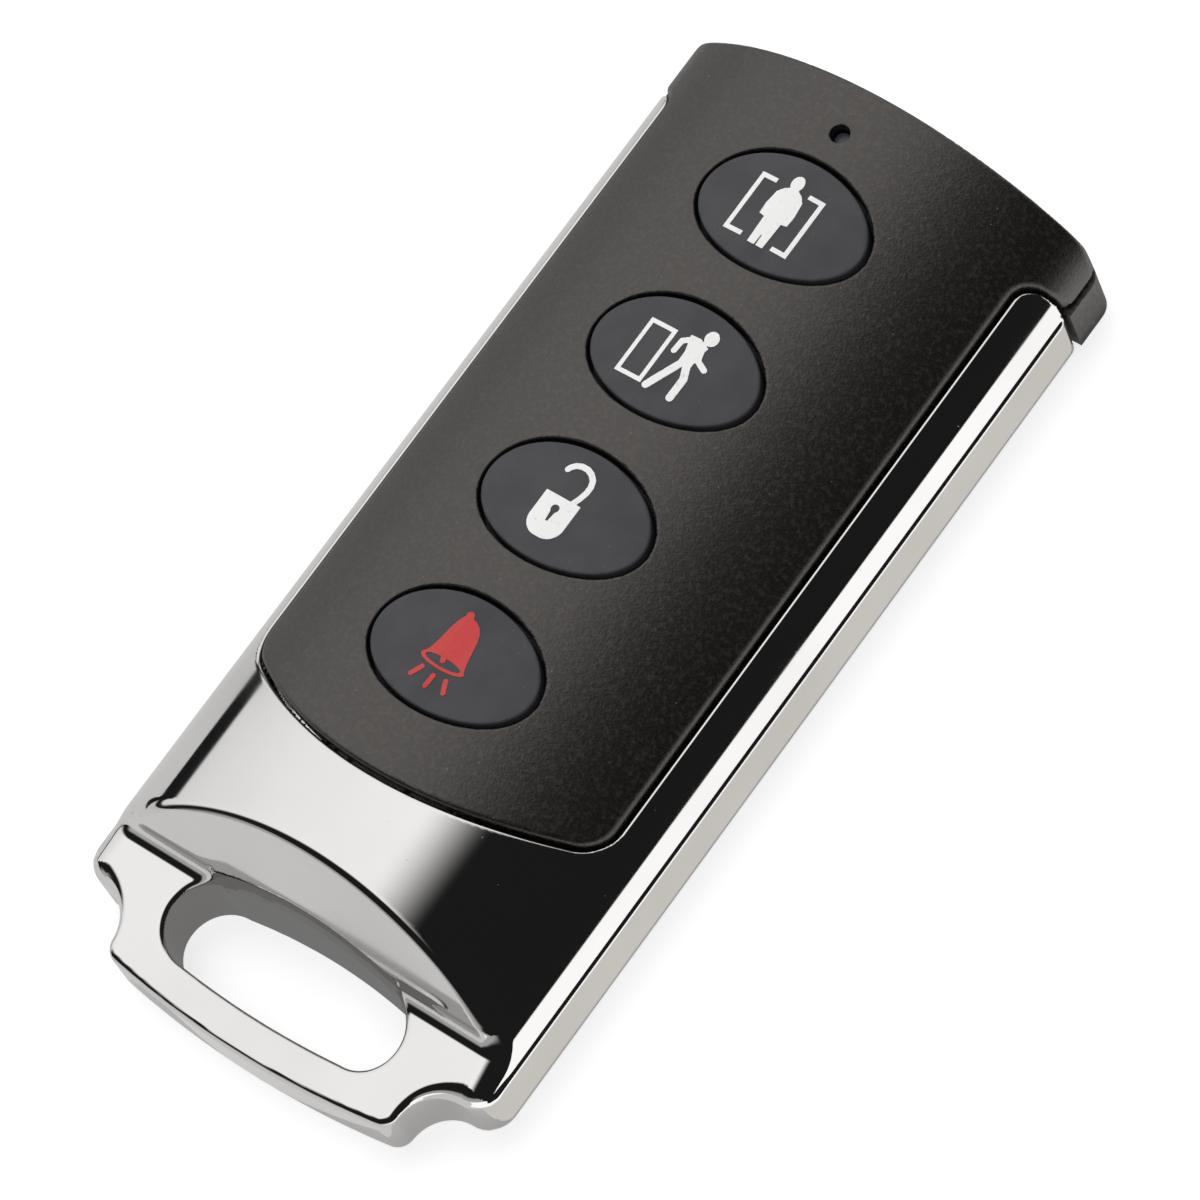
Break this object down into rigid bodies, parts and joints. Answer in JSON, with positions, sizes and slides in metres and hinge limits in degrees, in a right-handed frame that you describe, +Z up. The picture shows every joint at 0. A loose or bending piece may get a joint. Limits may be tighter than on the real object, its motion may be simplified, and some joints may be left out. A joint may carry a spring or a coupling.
{
  "type": "alarm key fob",
  "caption": "Slim alarm key fob: crowned black panel with oval rubber keys and a lamp hole, in a bright frame that ends in a slotted key-ring loop.",
  "frame": {"origin": "middle of the footprint, on the flat back that the fob rests on", "axes": "+X across the width, +Y from the key-ring loop to the lamp end, +Z up through the keys"},
  "size_m": [0.0308, 0.0674, 0.0116],
  "materials": {
    "black_plastic": "fine satin texture",
    "bright_chrome": "polished plating",
    "grey_rubber": "matte silicone",
    "green_board": "solder mask over glass laminate",
    "plain_steel": "plain",
    "copper_track": "thin copper track",
    "chip_black": "moulded",
    "clear_plastic": "clear moulding",
    "ivory_plastic": "moulded"
  },
  "bodies": {
    "housing": {"front_panel": "black_plastic", "chrome_frame": "bright_chrome", "rear_cover": "black_plastic", "cover_screw": "plain_steel", "keypad_mat": "grey_rubber", "circuit_board": "green_board", "light_pipe": "clear_plastic", "led_lamp": "ivory_plastic", "transmitter_chip": "chip_black", "crystal_can": "plain_steel", "chip_parts": "chip_black", "antenna_loop": "copper_track", "cell_can": "plain_steel", "cell_cap": "plain_steel", "cell_gasket": "chip_black", "positive_clip": "plain_steel", "negative_leaf": "plain_steel", "board_screws": "plain_steel", "stay_switch": "chip_black", "away_switch": "chip_black", "disarm_switch": "chip_black", "panic_switch": "chip_black"},
    "stay_key": {"stay_button": "grey_rubber"},
    "stay_pin": {"stay_plunger": "ivory_plastic"},
    "away_key": {"away_button": "grey_rubber"},
    "away_pin": {"away_plunger": "ivory_plastic"},
    "disarm_key": {"disarm_button": "grey_rubber"},
    "disarm_pin": {"disarm_plunger": "ivory_plastic"},
    "panic_key": {"panic_button": "grey_rubber"},
    "panic_pin": {"panic_plunger": "ivory_plastic"}
  },
  "joints": [
    {"name": "stay_press", "type": "slide", "parent": "housing", "child": "stay_key", "axis": [0, 0, -1], "range_m": [0, 0.0004], "stiffness_N_per_m": 1200},
    {"name": "away_press", "type": "slide", "parent": "housing", "child": "away_key", "axis": [0, 0, -1], "range_m": [0, 0.0004], "stiffness_N_per_m": 1200},
    {"name": "disarm_press", "type": "slide", "parent": "housing", "child": "disarm_key", "axis": [0, 0, -1], "range_m": [0, 0.0004], "stiffness_N_per_m": 1200},
    {"name": "panic_press", "type": "slide", "parent": "housing", "child": "panic_key", "axis": [0, 0, -1], "range_m": [0, 0.0004], "stiffness_N_per_m": 1200},
    {"name": "stay_pin_slide", "type": "slide", "parent": "housing", "child": "stay_pin", "axis": [0, 0, -1], "range_m": [0, 0.0004]},
    {"name": "away_pin_slide", "type": "slide", "parent": "housing", "child": "away_pin", "axis": [0, 0, -1], "range_m": [0, 0.0004]},
    {"name": "disarm_pin_slide", "type": "slide", "parent": "housing", "child": "disarm_pin", "axis": [0, 0, -1], "range_m": [0, 0.0004]},
    {"name": "panic_pin_slide", "type": "slide", "parent": "housing", "child": "panic_pin", "axis": [0, 0, -1], "range_m": [0, 0.0004]}
  ],
  "couplings": [
    {"joint": "stay_pin_slide", "follows": "stay_press", "ratio": 1},
    {"joint": "away_pin_slide", "follows": "away_press", "ratio": 1},
    {"joint": "disarm_pin_slide", "follows": "disarm_press", "ratio": 1},
    {"joint": "panic_pin_slide", "follows": "panic_press", "ratio": 1}
  ]
}
